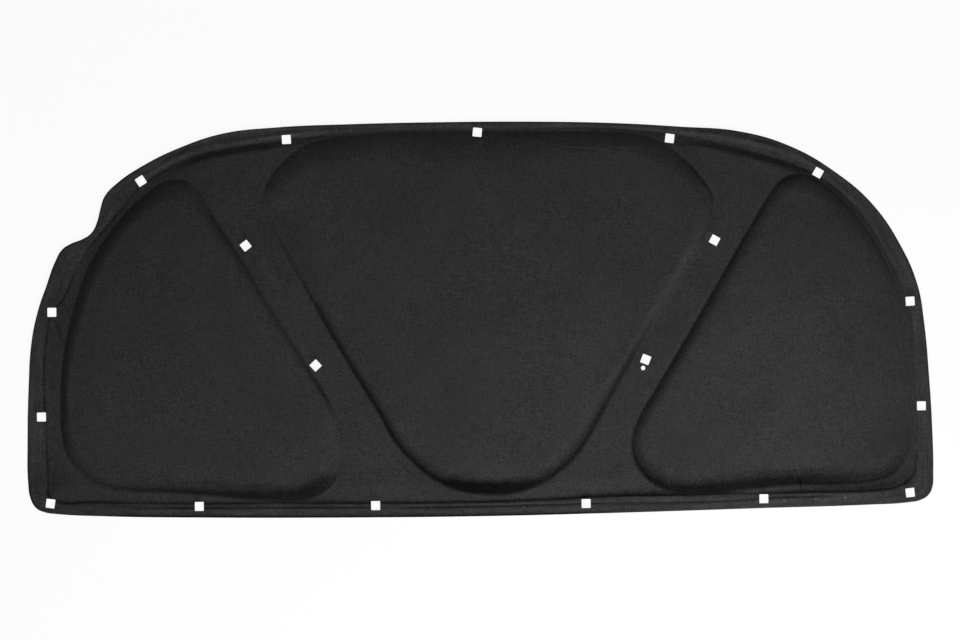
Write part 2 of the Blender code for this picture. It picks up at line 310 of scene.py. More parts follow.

# %% [markdown]
# Handling and the press leave smaller marks: folds by the notch, places where the felt is bent up or
# worn pale, hair-thin scuffs and a little lint. Two strokes are painted highlights on slopes that
# face the lamp. All but the lint are strokes, each drawn through a few points, with half its width
# and its rise in millimetres, and how much lighter or darker than the felt it is.

# %% Strokes: points, half width, rise, tone
STROKES = (
    (((-612, 12), (-604, -8), (-596, -32)), 4, -0.7, -0.35),
    (((-497, 190), (-512, 168), (-535, 140), (-556, 116), (-574, 92)), 3, -0.8, -0.45),
    (((-514, 184), (-530, 162), (-548, 138), (-572, 112)), 4, 0.7, 0.15),
    (((-524, 172), (-538, 150), (-556, 130)), 2.5, -0.6, -0.3),
    # painted highlight on the crest above the left lobe's foot, with a small real rise
    (((-296, -230), (-262, -231), (-236, -219), (-216, -201)), 8, 0.4, 0.25),
    (((-318, 96), (-300, 70), (-288, 45)), 15, 0.0, 0.25),
    (((447, -213), (452, -224), (455, -235)), 1.3, -0.3, -0.35),
    (((456, -232), (459, -240), (461, -248)), 1.3, -0.3, -0.4),
    (((470, -216), (476, -224), (480, -233)), 1.2, -0.2, -0.25),
    (((-215, -201), (-206, -188), (-203, -170)), 10, 0.4, 0.06),
    (((-588, -75), (-589, -100), (-588, -130)), 7, 0.0, 0.2),
    (((608, 84), (617, 60), (622, 38)), 7, 0.15, 0.3),
    (((306, 257), (322, 254), (341, 248)), 4, 0.4, 0.25),
    (((352, 255), (384, 250), (414, 241)), 5, 0.5, 0.28),
    (((436, 235), (456, 227), (478, 216)), 5, 0.3, 0.16),
    (((366, 246), (380, 243), (392, 242)), 2, -0.4, -0.2),
    (((-452, 226), (-428, 240), (-404, 249)), 4, 0.3, 0.14),
    # painted highlight along the centre lobe's right wall, which faces the lamp
    (((236, -26), (258, 12), (286, 58), (324, 126)), 14, 0.2, 0.26),
    (((108, 250), (150, 246), (176, 243), (196, 246), (238, 243)), 1.6, 0.2, 0.35),
    (((118, 246), (160, 242), (182, 246), (214, 240)), 1.4, -0.2, -0.3),
    (((326, 110), (330, 120), (341, 124)), 5, 0.4, 0.35),
    (((-137, -180), (-108, -212), (-78, -234)), 1.6, -0.3, -0.3),
    (((-140, -186), (-110, -217), (-84, -236)), 2.0, 0.3, 0.14),
)
LINT = ((61, -270), (435, -265), (481, -263), (523, -262))

# %% Ease the notes from one to the next round a loop
EASE_POINTS = 25
WRAP_POINTS = 40


def round_the_loop(ruler, notes):
    count = len(ruler.points)
    stations = ruler.measure(on_pad([note[:2] for note in notes]))[1]
    window = np.hanning(EASE_POINTS)[1:-1]
    eased = []
    for column in range(2, len(notes[0])):
        values = [note[column] for note in notes]
        values = np.interp(np.arange(count), stations, values, period=count)
        wrapped = np.concatenate((values[-WRAP_POINTS:], values, values[:WRAP_POINTS]))
        smoothed = np.convolve(wrapped, window / window.sum(), "same")
        eased.append(smoothed[WRAP_POINTS:-WRAP_POINTS])
    return eased


crease_reach, crease_painted_shade = round_the_loop(crease, CREASE_PAINTED_SHADE)
lobes = [
    (ruler, *round_the_loop(ruler, notes))
    for ruler, notes in (
        (left_lobe, LEFT_WALL), (centre_lobe, CENTRE_WALL), (right_lobe, RIGHT_WALL),
    )
]
for side, (_ruler, runs, *_painted_shades) in zip(("Left", "Centre", "Right"), lobes):
    print(side, "lobe, its wall's run in mm:", round(runs.min(), 1), "to", round(runs.max(), 1))

# %% [markdown]
# ## Pressing
#
# The mould is written as one short function for each of its regions: the rim, the crease with the
# land inside it, and a lobe. Together they take places on the plan and give the felt's height there.
# They also note what the materials need: how much painted shade each place gets at the walls' feet
# and in the creases, how much lighter or darker wear, painted highlights and painted shade make it,
# whether it is rim, and how far it lies from the edge.
#
# Small even waves come from Blender's own noise, which is the same on every run.

# %% Helpers for soft steps and waves
NOISE_GAIN = 1.6


def soft_step(value, start, end):
    share = np.clip((value - start) / (end - start), 0.0, 1.0)
    return share * share * (3 - 2 * share)


def ridge(value, middle, half_width):
    return 1 - soft_step(np.abs(value - middle), 0.0, half_width)


def waves(places, length, layer):
    """Smooth waves of about the given length in millimetres, mostly from -1 to 1."""
    scaled = places / (length * MM)
    return np.array([noise.noise((x, y, layer)) for x, y in scaled]) * NOISE_GAIN


def near(places, x, y, reach):
    """1 at a drawn point, easing to 0 at a reach in millimetres."""
    gap = np.linalg.norm(places - on_pad((x, y)), axis=1) / MM
    return 1 - soft_step(gap, 0.0, reach)


# %% A stroke as a mask
STROKE_SAMPLE = 1.0 * MM
LEAST_SAMPLES = 4
STROKE_TAPER = 0.25
FAINTEST_END = 0.05


def stroke_mask(places, drawn_points, half_width):
    """1 along the middle of a stroke, easing to 0 at its sides and nearly to 0 at its ends."""
    knots = on_pad(drawn_points)
    along = distances_along(knots)
    count = max(int(along[-1] / STROKE_SAMPLE), LEAST_SAMPLES)
    line = places_at(np.linspace(0, along[-1], count), along, knots)
    reach = half_width * MM
    mask = np.zeros(len(places))
    boxed = ((places > line.min(axis=0) - reach) & (places < line.max(axis=0) + reach)).all(axis=1)
    if boxed.any():
        gaps = np.linalg.norm(places[boxed][:, None] - line[None], axis=2)
        share = gaps.argmin(axis=1) / (len(line) - 1)
        taper = soft_step(share, 0, STROKE_TAPER) * (1 - soft_step(share, 1 - STROKE_TAPER, 1))
        taper = np.maximum(taper, FAINTEST_END)
        mask[boxed] = (1 - soft_step(gaps.min(axis=1) / reach, 0, 1)) * taper
    return mask


# %% The painted shade beside a line: it starts just outside, and fades over a reach inside
def painted_shade_band(inside, start, full, reach, shade_strength):
    """A wide or very dark band of painted shade stays black for longer before it fades."""
    fade = 1 - np.clip((inside - full) / np.maximum(reach, 1.0), 0, 1)
    hold = 1 + 0.6 * soft_step(reach, 20, 30) + 1.1 * soft_step(shade_strength, 0.86, 0.92)
    held = np.clip(fade * hold, 0, 1) ** 1.15
    return shade_strength * soft_step(inside, start, full) * held


# %% What the mould knows of each place
LEFT_SHOULDER = (-350, 262)
RIGHT_SHOULDER = (400, 240)
SHOULDER_REACH = 190


class Spots:
    """Places measured from the mould's lines in millimetres; `gap` is to the nearest lobe."""

    def __init__(self, places):
        self.places = places
        self.x, self.y = (places / MM).T
        self.from_edge = outline.measure(places)[0] / MM
        from_crease, self.nearest_crease = crease.measure(places)
        self.from_crease = from_crease / MM
        self.outside = -self.from_crease
        self.to_lobes = [(ruler.measure(places), notes) for ruler, *notes in lobes]
        self.gap = -np.max([measured[0] for measured, _notes in self.to_lobes], axis=0) / MM
        self.find_regions()

    def find_regions(self):
        """Masks of the shoulders and the straight edge, and where the rim is rolled."""
        x, y = self.x, self.y
        left = np.clip(near(self.places, *LEFT_SHOULDER, SHOULDER_REACH) * 1.5, 0, 1)
        right = np.clip(near(self.places, *RIGHT_SHOULDER, SHOULDER_REACH) * 1.5, 0, 1)
        self.left_shoulder, self.right_shoulder = left, right
        self.shoulders = np.maximum(left, right)
        between_corners = soft_step(x, -540, -420) * (1 - soft_step(x, 480, 540))
        self.along_bottom = soft_step(-y, 200, 240) * between_corners
        self.patchy = 0.75 + 0.5 * waves(self.places, 45, 5.0)
        right_bow = soft_step(x, 305, 385) * (1 - soft_step(x, 450, 530)) * soft_step(y, 0, 50)
        self.roll_at = 7 + 1.8 * soft_step(-x, 330, 380) + 8.5 * right_bow


# %% The rim, rolled on the shoulders, with a faint second crease along the straight edge
def press_rim(spots):
    x, places, outside = spots.x, spots.places, spots.outside
    roll = ridge(outside, spots.roll_at, 7) * soft_step(spots.from_edge, 1, 8)
    dent = ridge(outside, spots.roll_at + 9, 5) * soft_step(spots.from_edge, 2, 6)
    rim = RIM_THICKNESS + (0.5 + 1.9 * spots.shoulders) * roll
    rim = rim + 0.28 * spots.shoulders * waves(places, 11, 8.0) * soft_step(outside, 2, 6)
    rim = rim - 0.6 * spots.right_shoulder * dent
    second_at = 7.9 + 4.2 * soft_step(x, 20, 240) - 4.6 * soft_step(x, 330, 450)
    second_crease = ridge(outside, second_at, 2.8) * spots.along_bottom
    second_crease = second_crease * np.clip(1.15 + 0.5 * waves(places, 90, 4.0), 0, 1)
    rim = rim - 0.8 * second_crease
    rim = rim + 0.22 * waves(places, 22, 1.0) * soft_step(outside, 0, 4)
    return rim, second_crease


# %% The sunk crease and the half-pressed land inside it
LAND_START = 0.4


def press_land(spots, rim):
    """The crease is keenest where no lobe stands beside it."""
    keen = 0.3 + 0.7 * soft_step(spots.gap, 1, 9)
    height = rim - CREASE_SINK * keen * soft_step(spots.from_crease, -3.2, -0.6)
    wide_land = soft_step(spots.from_crease + spots.gap, 12, 45)
    land = LAND_THICKNESS - 2.5 * (1 - wide_land) + 0.35 * waves(spots.places, 120, 2.0)
    land_end = LAND_START + 27 - 17 * spots.shoulders
    height = height + (land - height) * soft_step(spots.from_crease, LAND_START, land_end)
    return height, keen


# %% Painted shade in the creases, and a darker band along the punched edge
def painted_shade_lines(spots, keen, second_crease):
    x, y = spots.x, spots.y
    # painted shade along the crease
    painted_shade = painted_shade_band(
        spots.from_crease, -3.8 - 0.8 * spots.shoulders, -0.9 + 0.7 * spots.shoulders,
        crease_reach[spots.nearest_crease], crease_painted_shade[spots.nearest_crease] * (0.6 + 0.4 * keen),
    )
    # painted shade in the faint second crease
    painted_shade = np.maximum(painted_shade, 0.65 * second_crease)
    # darker along the punched edge, most along the straight edge
    darker_straight_cut = soft_step(-y, 235, 260) * soft_step(x, -545, -500) * (1 - soft_step(x, 120, 260))
    cut_edge_dark = 0.14 * (1 - soft_step(y, 60, 160)) + 0.7 * darker_straight_cut
    return np.maximum(painted_shade, cut_edge_dark * (1 - soft_step(spots.from_edge, 1.2, 4.6)))


# %% One lobe: the crease at its foot, its wall, and its slightly crowned top
FOOT_START = -3.4
CROWN_REACH = 50


def press_lobe(spots, height, painted_shade, measured, notes):
    """The darker the painted shade at the foot, the more keenly the wall rises from it."""
    inside = measured[0] / MM
    run, dark, reach = (values[measured[1]] for values in notes)
    top = LOBE_THICKNESS + LOBE_CROWN * (1 - np.exp(-np.maximum(inside, 0) / CROWN_REACH))
    top = top + 0.6 * waves(spots.places, 150, 3.0) * soft_step(inside, 10, 60)
    foot = height - CREASE_SINK * np.clip(dark * 1.6, 0, 1) * soft_step(inside, FOOT_START, -0.4)
    climb = np.clip((inside + 0.2) / run, 0, 1)
    keen_wall = 1 - (1 - climb) ** 1.8
    soft_wall = soft_step(climb, 0, 1)
    wall = soft_wall + (keen_wall - soft_wall) * np.clip(0.8 + dark, 0, 1)
    wall = 0.9 * wall + 0.1 * soft_step(inside, 0, 60)
    height = np.where(inside > FOOT_START, foot + (top - foot) * wall, height)
    ragged = 1 + 0.08 * waves(spots.places, 14, 6.0) * soft_step(dark, 0.6, 1.0)
    # painted shade at the wall's foot, where real shade falls
    band = painted_shade_band(inside, FOOT_START, 1.0, reach * ragged, dark)
    return height, np.maximum(painted_shade, band)


# %% Where the rim is lighter or darker than the felt, with painted highlights and painted shade
def tone_of_rim(spots):
    x, y, places, outside, patchy = spots.x, spots.y, spots.places, spots.outside, spots.patchy
    outer_rim = soft_step(outside, 3, 8)
    # painted highlight along the crest of the rolled rim
    tone = 0.52 * patchy * spots.shoulders * ridge(outside, spots.roll_at + 0.5, 5)
    tone = tone + 0.12 * spots.left_shoulder * outer_rim
    tone = tone + 0.22 * spots.shoulders * outer_rim * (1 - soft_step(spots.from_edge, 2.5, 6))
    tone = tone + 0.2 * spots.shoulders * waves(places, 9, 7.0) * soft_step(outside, 2, 6)
    # painted shade in the dent beside the right shoulder's roll
    tone = tone - 0.12 * patchy * spots.right_shoulder * ridge(outside, spots.roll_at + 8.5, 5)
    tone = tone + 0.1 * spots.along_bottom * ridge(outside, 14, 5) * patchy
    along_top = soft_step(y, 240, 262) * (1 - soft_step(np.abs(x), 280, 360))
    tone = tone + 0.4 * along_top * soft_step(outside, 1, 8) * patchy
    left_rim = soft_step(-x, 300, 420) * soft_step(outside, 3, 12) * soft_step(y, -240, -190)
    tone = tone + 0.34 * left_rim * patchy
    right_rim = near(places, 520, 190, 110) * soft_step(outside, 3, 7)
    # a lighter patch of rim, then painted shade along the crease near (592, 82)
    tone = tone + 0.22 * right_rim - 0.2 * near(places, 592, 82, 95) * ridge(outside, 1, 7)
    return tone - 0.2 * near(places, 606, -238, 100) * soft_step(outside, -4, 2)


# %% Where the lands and the lobes are lighter or darker, with painted light
def tone_inside(spots):
    x, y, places, gap = spots.x, spots.y, spots.places, spots.gap
    # painted light on the left land strip, whose slope lies in shade
    left_strip_painted_light = soft_step(-x, 430, 480) * soft_step(spots.from_crease, 0, 4) * soft_step(gap, -1, 3)
    bottom_land = soft_step(-y, 195, 225) * soft_step(-x, -340, -290) * soft_step(gap, -1, 3)
    tone = 0.2 * left_strip_painted_light * (1 - bottom_land) - 0.1 * bottom_land
    tone = tone - 0.12 * near(places, 290, -215, 110) * soft_step(-gap, 4, 16)
    # painted pool of light over the right lobe, towards the lamp
    tone = tone + 0.14 * near(places, 430, -60, 220) * soft_step(-gap, 10, 40)
    right_foot = soft_step(-y, 215, 236) * soft_step(x, 440, 500)
    right_foot = right_foot * (1 - soft_step(spots.outside, -6, -2)) * soft_step(gap, -4, 1)
    tone = tone - 0.25 * right_foot
    return tone - 0.2 * near(places, 606, -215, 120) * soft_step(spots.from_crease, 0, 4)


# %% Strokes, lint, and the shallow dish that a clip's head leaves round its hole
DISH_DEPTH = 0.7
DISH_REACH = 20


def add_marks_and_painted_light(places, height, tone):
    """Each dish gets a painted highlight on the side of the straight edge and painted shade on the
    other.
    """
    for drawn_points, half_width, rise, lightness in STROKES:
        mask = stroke_mask(places, drawn_points, half_width)
        height = height + rise * mask
        tone = tone + lightness * mask
    for speck_x, speck_y in LINT:
        tone = tone + 3.0 * near(places, speck_x, speck_y, 1.5)
    for hole_x, hole_y, _turn in CLIP_HOLES:
        height = height - DISH_DEPTH * near(places, hole_x, hole_y, DISH_REACH)
        # painted shade on the dish's side away from the straight edge, a painted highlight on the
        # near side
        tone = tone - 0.3 * near(places, hole_x - 3, hole_y + 12, 11)
        tone = tone + 0.14 * near(places, hole_x + 5, hole_y - 13, 14)
    return height, tone


# %% The whole mould
CUT_ROUNDING = 0.9


def press(places):
    spots = Spots(places)
    rim, second_crease = press_rim(spots)
    height, keen = press_land(spots, rim)
    painted_shade = painted_shade_lines(spots, keen, second_crease)
    for measured, notes in spots.to_lobes:
        height, painted_shade = press_lobe(spots, height, painted_shade, measured, notes)
    height, tone = add_marks_and_painted_light(places, height, tone_of_rim(spots) + tone_inside(spots))
    height = height - CUT_ROUNDING * (1 - soft_step(spots.from_edge, 0.0, 1.4))
    rim_mask = soft_step(spots.outside, -1.0, 2.5)
    return height * MM, np.clip(painted_shade, 0, 1), rim_mask, spots.from_edge, tone


# %% [markdown]
# ## A net of triangles
#
# A grid would cut across the mould's lines and leave saw teeth on every wall. A Delaunay net takes
# points wherever they are wanted: rows of points follow each line closely, and a plain honeycomb
# fills the rest, finer near the walls. The outline and the holes are edges that the net must keep.

# %% The edges of the clip holes and of the small round hole
HOLE_STEP = 0.8 * MM
CORNER_STEPS = 4
PIN_HOLE_POINTS = 20


def rounded_square(drawn_x, drawn_y, turn, side, corner):
    reach = side / 2 - corner
    points = []
    for quarter in range(4):
        for step in range(CORNER_STEPS + 1):
            angle = math.radians(90 * quarter + 90 / CORNER_STEPS * step)
            centre_x = reach * (1 if quarter in (0, 3) else -1)
            centre_y = reach * (1 if quarter in (0, 1) else -1)
            points.append(
                (centre_x + corner * math.cos(angle), centre_y + corner * math.sin(angle))
            )
    spin = math.radians(turn)
    turned = [
        (px * math.cos(spin) - py * math.sin(spin), px * math.sin(spin) + py * math.cos(spin))
        for px, py in points
    ]
    return even_loop(on_pad((drawn_x, drawn_y)) + np.array(turned), HOLE_STEP)


def round_hole(drawn_x, drawn_y, radius):
    angles = np.linspace(0, math.tau, PIN_HOLE_POINTS, endpoint=False)
    ring = np.column_stack((np.cos(angles), np.sin(angles)))
    return on_pad((drawn_x, drawn_y)) + ring * radius


hole_rulers = [
    Ruler(rounded_square(x, y, turn, CLIP_HOLE_SIDE, CLIP_HOLE_CORNER))
    for x, y, turn in CLIP_HOLES
]
hole_rulers.append(Ruler(round_hole(*PIN_HOLE, PIN_HOLE_RADIUS)))
print("Holes:", len(hole_rulers))

# %% Keep new points clear of the edges and of the points already taken
HOLE_ZONE = 12 * MM
HOLE_MARGIN = 0.5 * MM


def off_the_edges(candidates, margin):
    """Those of the points that lie clear of the pad's edge and of its holes."""
    candidates = candidates[outline.measure(candidates)[0] > margin]
    for hole in hole_rulers:
        close = np.linalg.norm(candidates - hole.points.mean(axis=0), axis=1) < HOLE_ZONE
        if close.any():
            drop = np.zeros(len(candidates), bool)
            drop[close] = hole.measure(candidates[close])[0] > -HOLE_MARGIN
            candidates = candidates[~drop]
    return candidates


def clear_of(taken, candidates, gap):
    tree = plan_tree(taken)
    return np.array([p for p in candidates if tree.find((p[0], p[1], 0.0))[2] > gap])


def with_more(taken, candidates, gap):
    return np.vstack((taken, clear_of(taken, candidates, gap)))


# %% A honeycomb over the whole pad
ROW_PITCH = 0.866
EDGE_SHARE = 0.45


def honeycomb(spacing):
    columns = np.arange(plan_low[0], plan_low[0] + plan_size[0], spacing)
    rows = np.arange(plan_low[1], plan_low[1] + plan_size[1], spacing * ROW_PITCH)
    places = np.array([
        (x + (spacing / 2 if number % 2 else 0), y) for number, y in enumerate(rows) for x in columns
    ])
    return off_the_edges(places, spacing * EDGE_SHARE)


# %% Weave the points into a net that stops at the outline and the holes
INSIDE_THE_EDGES = 1
SAME_POINT = 1e-7


def net(edge_loops, more_points):
    """The first loop is the outline, and the others are holes, whose own triangles are left out."""
    points, edges, owner = [], [], []
    for number, loop in enumerate(edge_loops):
        start = len(points)
        points.extend(loop)
        owner.extend([number] * len(loop))
        edges.extend((start + k, start + (k + 1) % len(loop)) for k in range(len(loop)))
    loop_count = len(points)
    points.extend(more_points)
    corners = [Vector(p) for p in points]
    found = delaunay_2d_cdt(corners, edges, [], INSIDE_THE_EDGES, SAME_POINT)
    places, faces, sources = np.array([v[:] for v in found[0]]), found[2], found[3]
    home = [-1] * loop_count
    loop_of = [-1] * len(places)
    for number, came_from in enumerate(sources):
        for source in came_from:
            if source < loop_count:
                home[source] = number
                loop_of[number] = owner[source]
    faces = [
        face for face in faces
        if not (loop_of[face[0]] > 0 and loop_of[face[0]] == loop_of[face[1]] == loop_of[face[2]])
    ]
    loops, start = [], 0
    for loop in edge_loops:
        loops.append(home[start : start + len(loop)])
        start += len(loop)
    return places, faces, loops


# %% Rows of points beside the edge, the holes and the mould's lines, in millimetres inside them
EDGE_ROWS = (0.6, 1.4, 3.2)
HOLE_ROWS = (-0.6, -1.4, -3.0)
LINE_ROWS = (-3.6, -2.4, -1.2, 0.0, 1.2, 2.6, 4.4, 6.6)
SECOND_CREASE_ROWS = (-5.2, -6.4, -7.6, -8.8, -10.0, -11.2, -12.6)
STRAIGHT_EDGE_BELOW = -200 * MM
EDGE_MARGIN = 1.2 * MM

edge_loops = [outline.points] + [ruler.points for ruler in hole_rulers]
rows = [outline.row(inset * MM) for inset in EDGE_ROWS]
rows += [ruler.row(inset * MM) for ruler in hole_rulers for inset in HOLE_ROWS]
taken = with_more(np.vstack(edge_loops), np.vstack(rows), 0.45 * MM)
for ruler in (crease, left_lobe, centre_lobe, right_lobe):
    candidates = np.vstack([ruler.row(inset * MM) for inset in LINE_ROWS])
    if ruler is crease:
        beside = np.vstack([ruler.row(inset * MM) for inset in SECOND_CREASE_ROWS])
        candidates = np.vstack((candidates, beside[beside[:, 1] < STRAIGHT_EDGE_BELOW]))
    taken = with_more(taken, off_the_edges(candidates, EDGE_MARGIN), 0.75 * MM)
print("Points on the mould's lines:", len(taken))

# %% Rows of points along each stroke, and a ring round each speck of lint
STROKE_STEP = 2.0 * MM
LEAST_SHIFT = 0.7
LINT_RING = 0.9 * MM


def stroke_rows(drawn_points, half_width):
    knots = on_pad(drawn_points)
    length = distances_along(knots)[-1]
    share = np.linspace(0, 1, max(int(length / STROKE_STEP), LEAST_SAMPLES))
    middle = places_at(share, np.linspace(0, 1, len(knots)), knots)
    ahead = np.gradient(middle, axis=0)
    ahead /= np.linalg.norm(ahead, axis=1)[:, None]
    aside = np.column_stack((-ahead[:, 1], ahead[:, 0]))
    shifts = np.arange(-half_width, half_width + 0.1, max(half_width / 3, LEAST_SHIFT))
    return np.vstack([middle + aside * shift * MM for shift in shifts])


for drawn_points, half_width, _rise, _lightness in STROKES:
    candidates = off_the_edges(stroke_rows(drawn_points, half_width), EDGE_MARGIN)
    taken = with_more(taken, candidates, 0.9 * MM)
for speck in LINT:
    ring = [on_pad(speck) + LINT_RING * np.array((math.cos(a), math.sin(a))) for a in range(6)]
    taken = with_more(taken, [on_pad(speck), *ring], 0.4 * MM)
print("Points with the strokes and the lint:", len(taken))

# %% Fill the rest, finely beside the lines, and weave the upper face
FINE_STEP = 2.8 * MM
WIDE_STEP = 5.6 * MM
CREASE_ZONE = 14 * MM
WALL_ZONE = (-6 * MM, 34 * MM)

fine = honeycomb(FINE_STEP)
near_wall = crease.measure(fine)[0] < CREASE_ZONE
for ruler, *_notes in lobes:
    inside = ruler.measure(fine)[0]
    near_wall |= (inside > WALL_ZONE[0]) & (inside < WALL_ZONE[1])
taken = with_more(taken, fine[near_wall], FINE_STEP * 0.6)
taken = with_more(taken, honeycomb(WIDE_STEP), WIDE_STEP * 0.62)
more_points = taken[sum(len(loop) for loop in edge_loops) :]
face_places, face_triangles, face_loops = net(edge_loops, more_points)
print("Upper face:", len(face_places), "points and", len(face_triangles), "triangles")

# %% [markdown]
# ## One closed skin
#
# The pressed upper face is one part of the pad's skin. Its rims are cut straight down by a punch,
# with a slightly soft edge, and the flat back closes it. The back needs few points, so it gets a net
# of its own that shares the punch lines.

# %% Press the upper face
heights, painted_shade, rim_mask, edge_distance, tone_marks_and_painted_light = press(face_places)
vertices = [(x, y, z) for (x, y), z in zip(face_places, heights)]
faces = [tuple(triangle) for triangle in face_triangles]
print("Thickness in mm:", round(heights.min() / MM, 1), "to", round(heights.max() / MM, 1))

# %% Lay the flat back
EDGE_SOFTNESS = 0.7 * MM
BACK_STEP = 16 * MM
BACK_GAP = 5 * MM

back_loops = [outline.row(EDGE_SOFTNESS)] + [ruler.row(-EDGE_SOFTNESS) for ruler in hole_rulers]
back_seeds = clear_of(np.vstack(back_loops), honeycomb(BACK_STEP), BACK_GAP)
back_places, back_triangles, back_rings = net(back_loops, back_seeds)
back_start = len(vertices)
vertices += [(x, y, 0.0) for x, y in back_places]
faces += [tuple(back_start + corner for corner in reversed(triangle)) for triangle in back_triangles]
print("Back:", len(back_places), "points and", len(back_triangles), "triangles")

# %% Join the two by the punched edges
for top_ring, back_ring in zip(face_loops, back_rings):
    count = len(top_ring)
    low_ring = list(range(len(vertices), len(vertices) + count))
    vertices += [(*face_places[corner], EDGE_SOFTNESS) for corner in top_ring]
    back_ring = [back_start + corner for corner in back_ring]
    for upper, lower in ((top_ring, low_ring), (low_ring, back_ring)):
        for k in range(count):
            after = (k + 1) % count
            faces.append((upper[after], upper[k], lower[k], lower[after]))
print("Whole skin:", len(vertices), "points and", len(faces), "faces")

# %% Make the mesh, turn its faces outwards and test that it is closed
mesh = bpy.data.meshes.new("felt_pad")
mesh.from_pydata(vertices, [], faces)
mesh.validate()
pad = bpy.data.objects.new("felt_pad", mesh)
bpy.context.scene.collection.objects.link(pad)
bpy.ops.object.select_all(action="DESELECT")
pad.select_set(True)
bpy.context.view_layer.objects.active = pad
bpy.ops.object.mode_set(mode="EDIT")
bpy.ops.mesh.select_all(action="SELECT")
bpy.ops.mesh.normals_make_consistent(inside=False)
bpy.ops.object.mode_set(mode="OBJECT")
bpy.ops.object.shade_smooth()
check = bmesh.new()
check.from_mesh(mesh)
open_edges = sum(1 for edge in check.edges if not edge.is_manifold)
print("Open edges:", open_edges, "Volume in litres:", round(check.calc_volume() * 1000, 2))
check.free()


# %% Store the press's notes on the points
def store(name, values, elsewhere):
    layer = mesh.attributes.new(name, "FLOAT", "POINT")
    padded_values = np.full(len(mesh.vertices), elsewhere, np.float32)
    padded_values[: len(values)] = values
    layer.data.foreach_set("value", padded_values)


# painted shade at the walls' feet and in the creases, with the darker punched edge
store("painted_shade", painted_shade, 0.0)
store("rim", rim_mask, 1.0)
store("edge_mm", edge_distance, 0.0)
# wear, lint and strokes, with painted highlights and painted shade
store("marks_and_painted_light", tone_marks_and_painted_light, 0.0)
print("Wear, darkest and lightest:", round(tone_marks_and_painted_light.min(), 2), round(tone_marks_and_painted_light.max(), 2))

# %% [markdown]
# ## Black needled felt
#
# Needling drives fibres through the felt and leaves a fine cross grain on its face. Two noises, one
# drawn out along x and one along y, give that grain, and a third gives the fibre ends between them.
# The face and the back are both such felt, so the grain is a node group that each material uses with
# its own values.


# %% Small helpers for building node trees
def add_node(tree, kind, at, **settings):
    node = tree.nodes.new(kind)
    node.location = at
    for name, value in settings.items():
        setattr(node, name, value)
    return node


def set_inputs(node, **values):
    for name, value in values.items():
        node.inputs[name].default_value = value


def math_node(tree, operation, at, *terms):
    node = add_node(tree, "ShaderNodeMath", at, operation=operation)
    for socket, value in zip(node.inputs, terms):
        if isinstance(value, (int, float)):
            socket.default_value = value
        else:
            tree.links.new(value, socket)
    return node.outputs[0]


def around_one(tree, at, pattern, contrast, lift=0.0):
    """1 where a pattern is at its middle value, and more or less where it is above or below."""
    return math_node(tree, "MULTIPLY_ADD", at, pattern, contrast, 1.0 - contrast / 2 + lift)


def stretched_noise(tree, place, size, stretch, scale, at, detail=2.0):
    """Noise with its own stretch along x and y, in cycles per metre."""
    mapping = add_node(tree, "ShaderNodeMapping", at)
    mapping.inputs["Scale"].default_value = (*stretch, 1.0)
    tree.links.new(place, mapping.inputs["Vector"])
    texture = add_node(tree, "ShaderNodeTexNoise", (at[0] + 200, at[1]))
    set_inputs(texture, Scale=scale, Detail=detail, Roughness=0.6)
    tree.links.new(mapping.outputs[0], texture.inputs["Vector"])
    if size is not None:
        divided = math_node(tree, "DIVIDE", (at[0], at[1] - 250), scale, size)
        tree.links.new(divided, texture.inputs["Scale"])
    return texture.outputs["Fac"]


# %% The needled grain as a node group
NEEDLING = 620.0
FIBRE_ENDS = 560.0
DRAWN_OUT = 0.12
CROSS_SHARE = 0.22

grain = bpy.data.node_groups.new("needled_grain", "ShaderNodeTree")
grain.interface.new_socket("Place", in_out="INPUT", socket_type="NodeSocketVector")
socket_size = grain.interface.new_socket("Grain Size", in_out="INPUT", socket_type="NodeSocketFloat")
socket_size.default_value = 1.0
for output_name in ("Tone", "Height"):
    grain.interface.new_socket(output_name, in_out="OUTPUT", socket_type="NodeSocketFloat")
grain_in = add_node(grain, "NodeGroupInput", (-900, 0))
grain_out = add_node(grain, "NodeGroupOutput", (700, 0))
place, size = grain_in.outputs["Place"], grain_in.outputs["Grain Size"]
across = stretched_noise(grain, place, size, (DRAWN_OUT, 1.0), NEEDLING, (-600, 400))
upward = stretched_noise(grain, place, size, (1.0, DRAWN_OUT), NEEDLING, (-600, 0))
ends = stretched_noise(grain, place, size, (1.0, 1.0), FIBRE_ENDS, (-600, -400))
lines = math_node(grain, "ADD", (0, 200), across, upward)
lines = math_node(grain, "MULTIPLY", (150, 200), lines, CROSS_SHARE)
ends = math_node(grain, "MULTIPLY", (150, 0), ends, 1.0 - 2 * CROSS_SHARE)
tone = math_node(grain, "ADD", (300, 100), lines, ends)
for output_name in ("Tone", "Height"):
    grain.links.new(tone, grain_out.inputs[output_name])


def place_grain(tree, at, place, size):
    node = add_node(tree, "ShaderNodeGroup", at, node_tree=grain)
    node.inputs["Grain Size"].default_value = size
    tree.links.new(place, node.inputs["Place"])
    return node


print("Grain group:", len(grain.nodes), "nodes")

# %% [markdown]
# ## The moulded face
#
# The face's colour starts as one near-black felt. The grain and slow clouds make it uneven, the
# painted shade at the walls' feet and in the creases takes it down to black and mats it, and the
# marks, which are wear with painted highlights and painted shade, lift or lower it. The hard rim is
# a little smoother and shows streaks that run along it. Each makes a factor that is 1 where nothing
# happens, and the felt's colour is multiplied by it.

# %% The face's material, with the grain and what the press noted
FELT = 0.030
COOL = 1.005


def new_material(name, at_rest):
    material = bpy.data.materials.new(name)
    material.use_nodes = True
    material.diffuse_color = (*at_rest, 1.0)
    return material, material.node_tree, material.node_tree.nodes["Principled BSDF"]


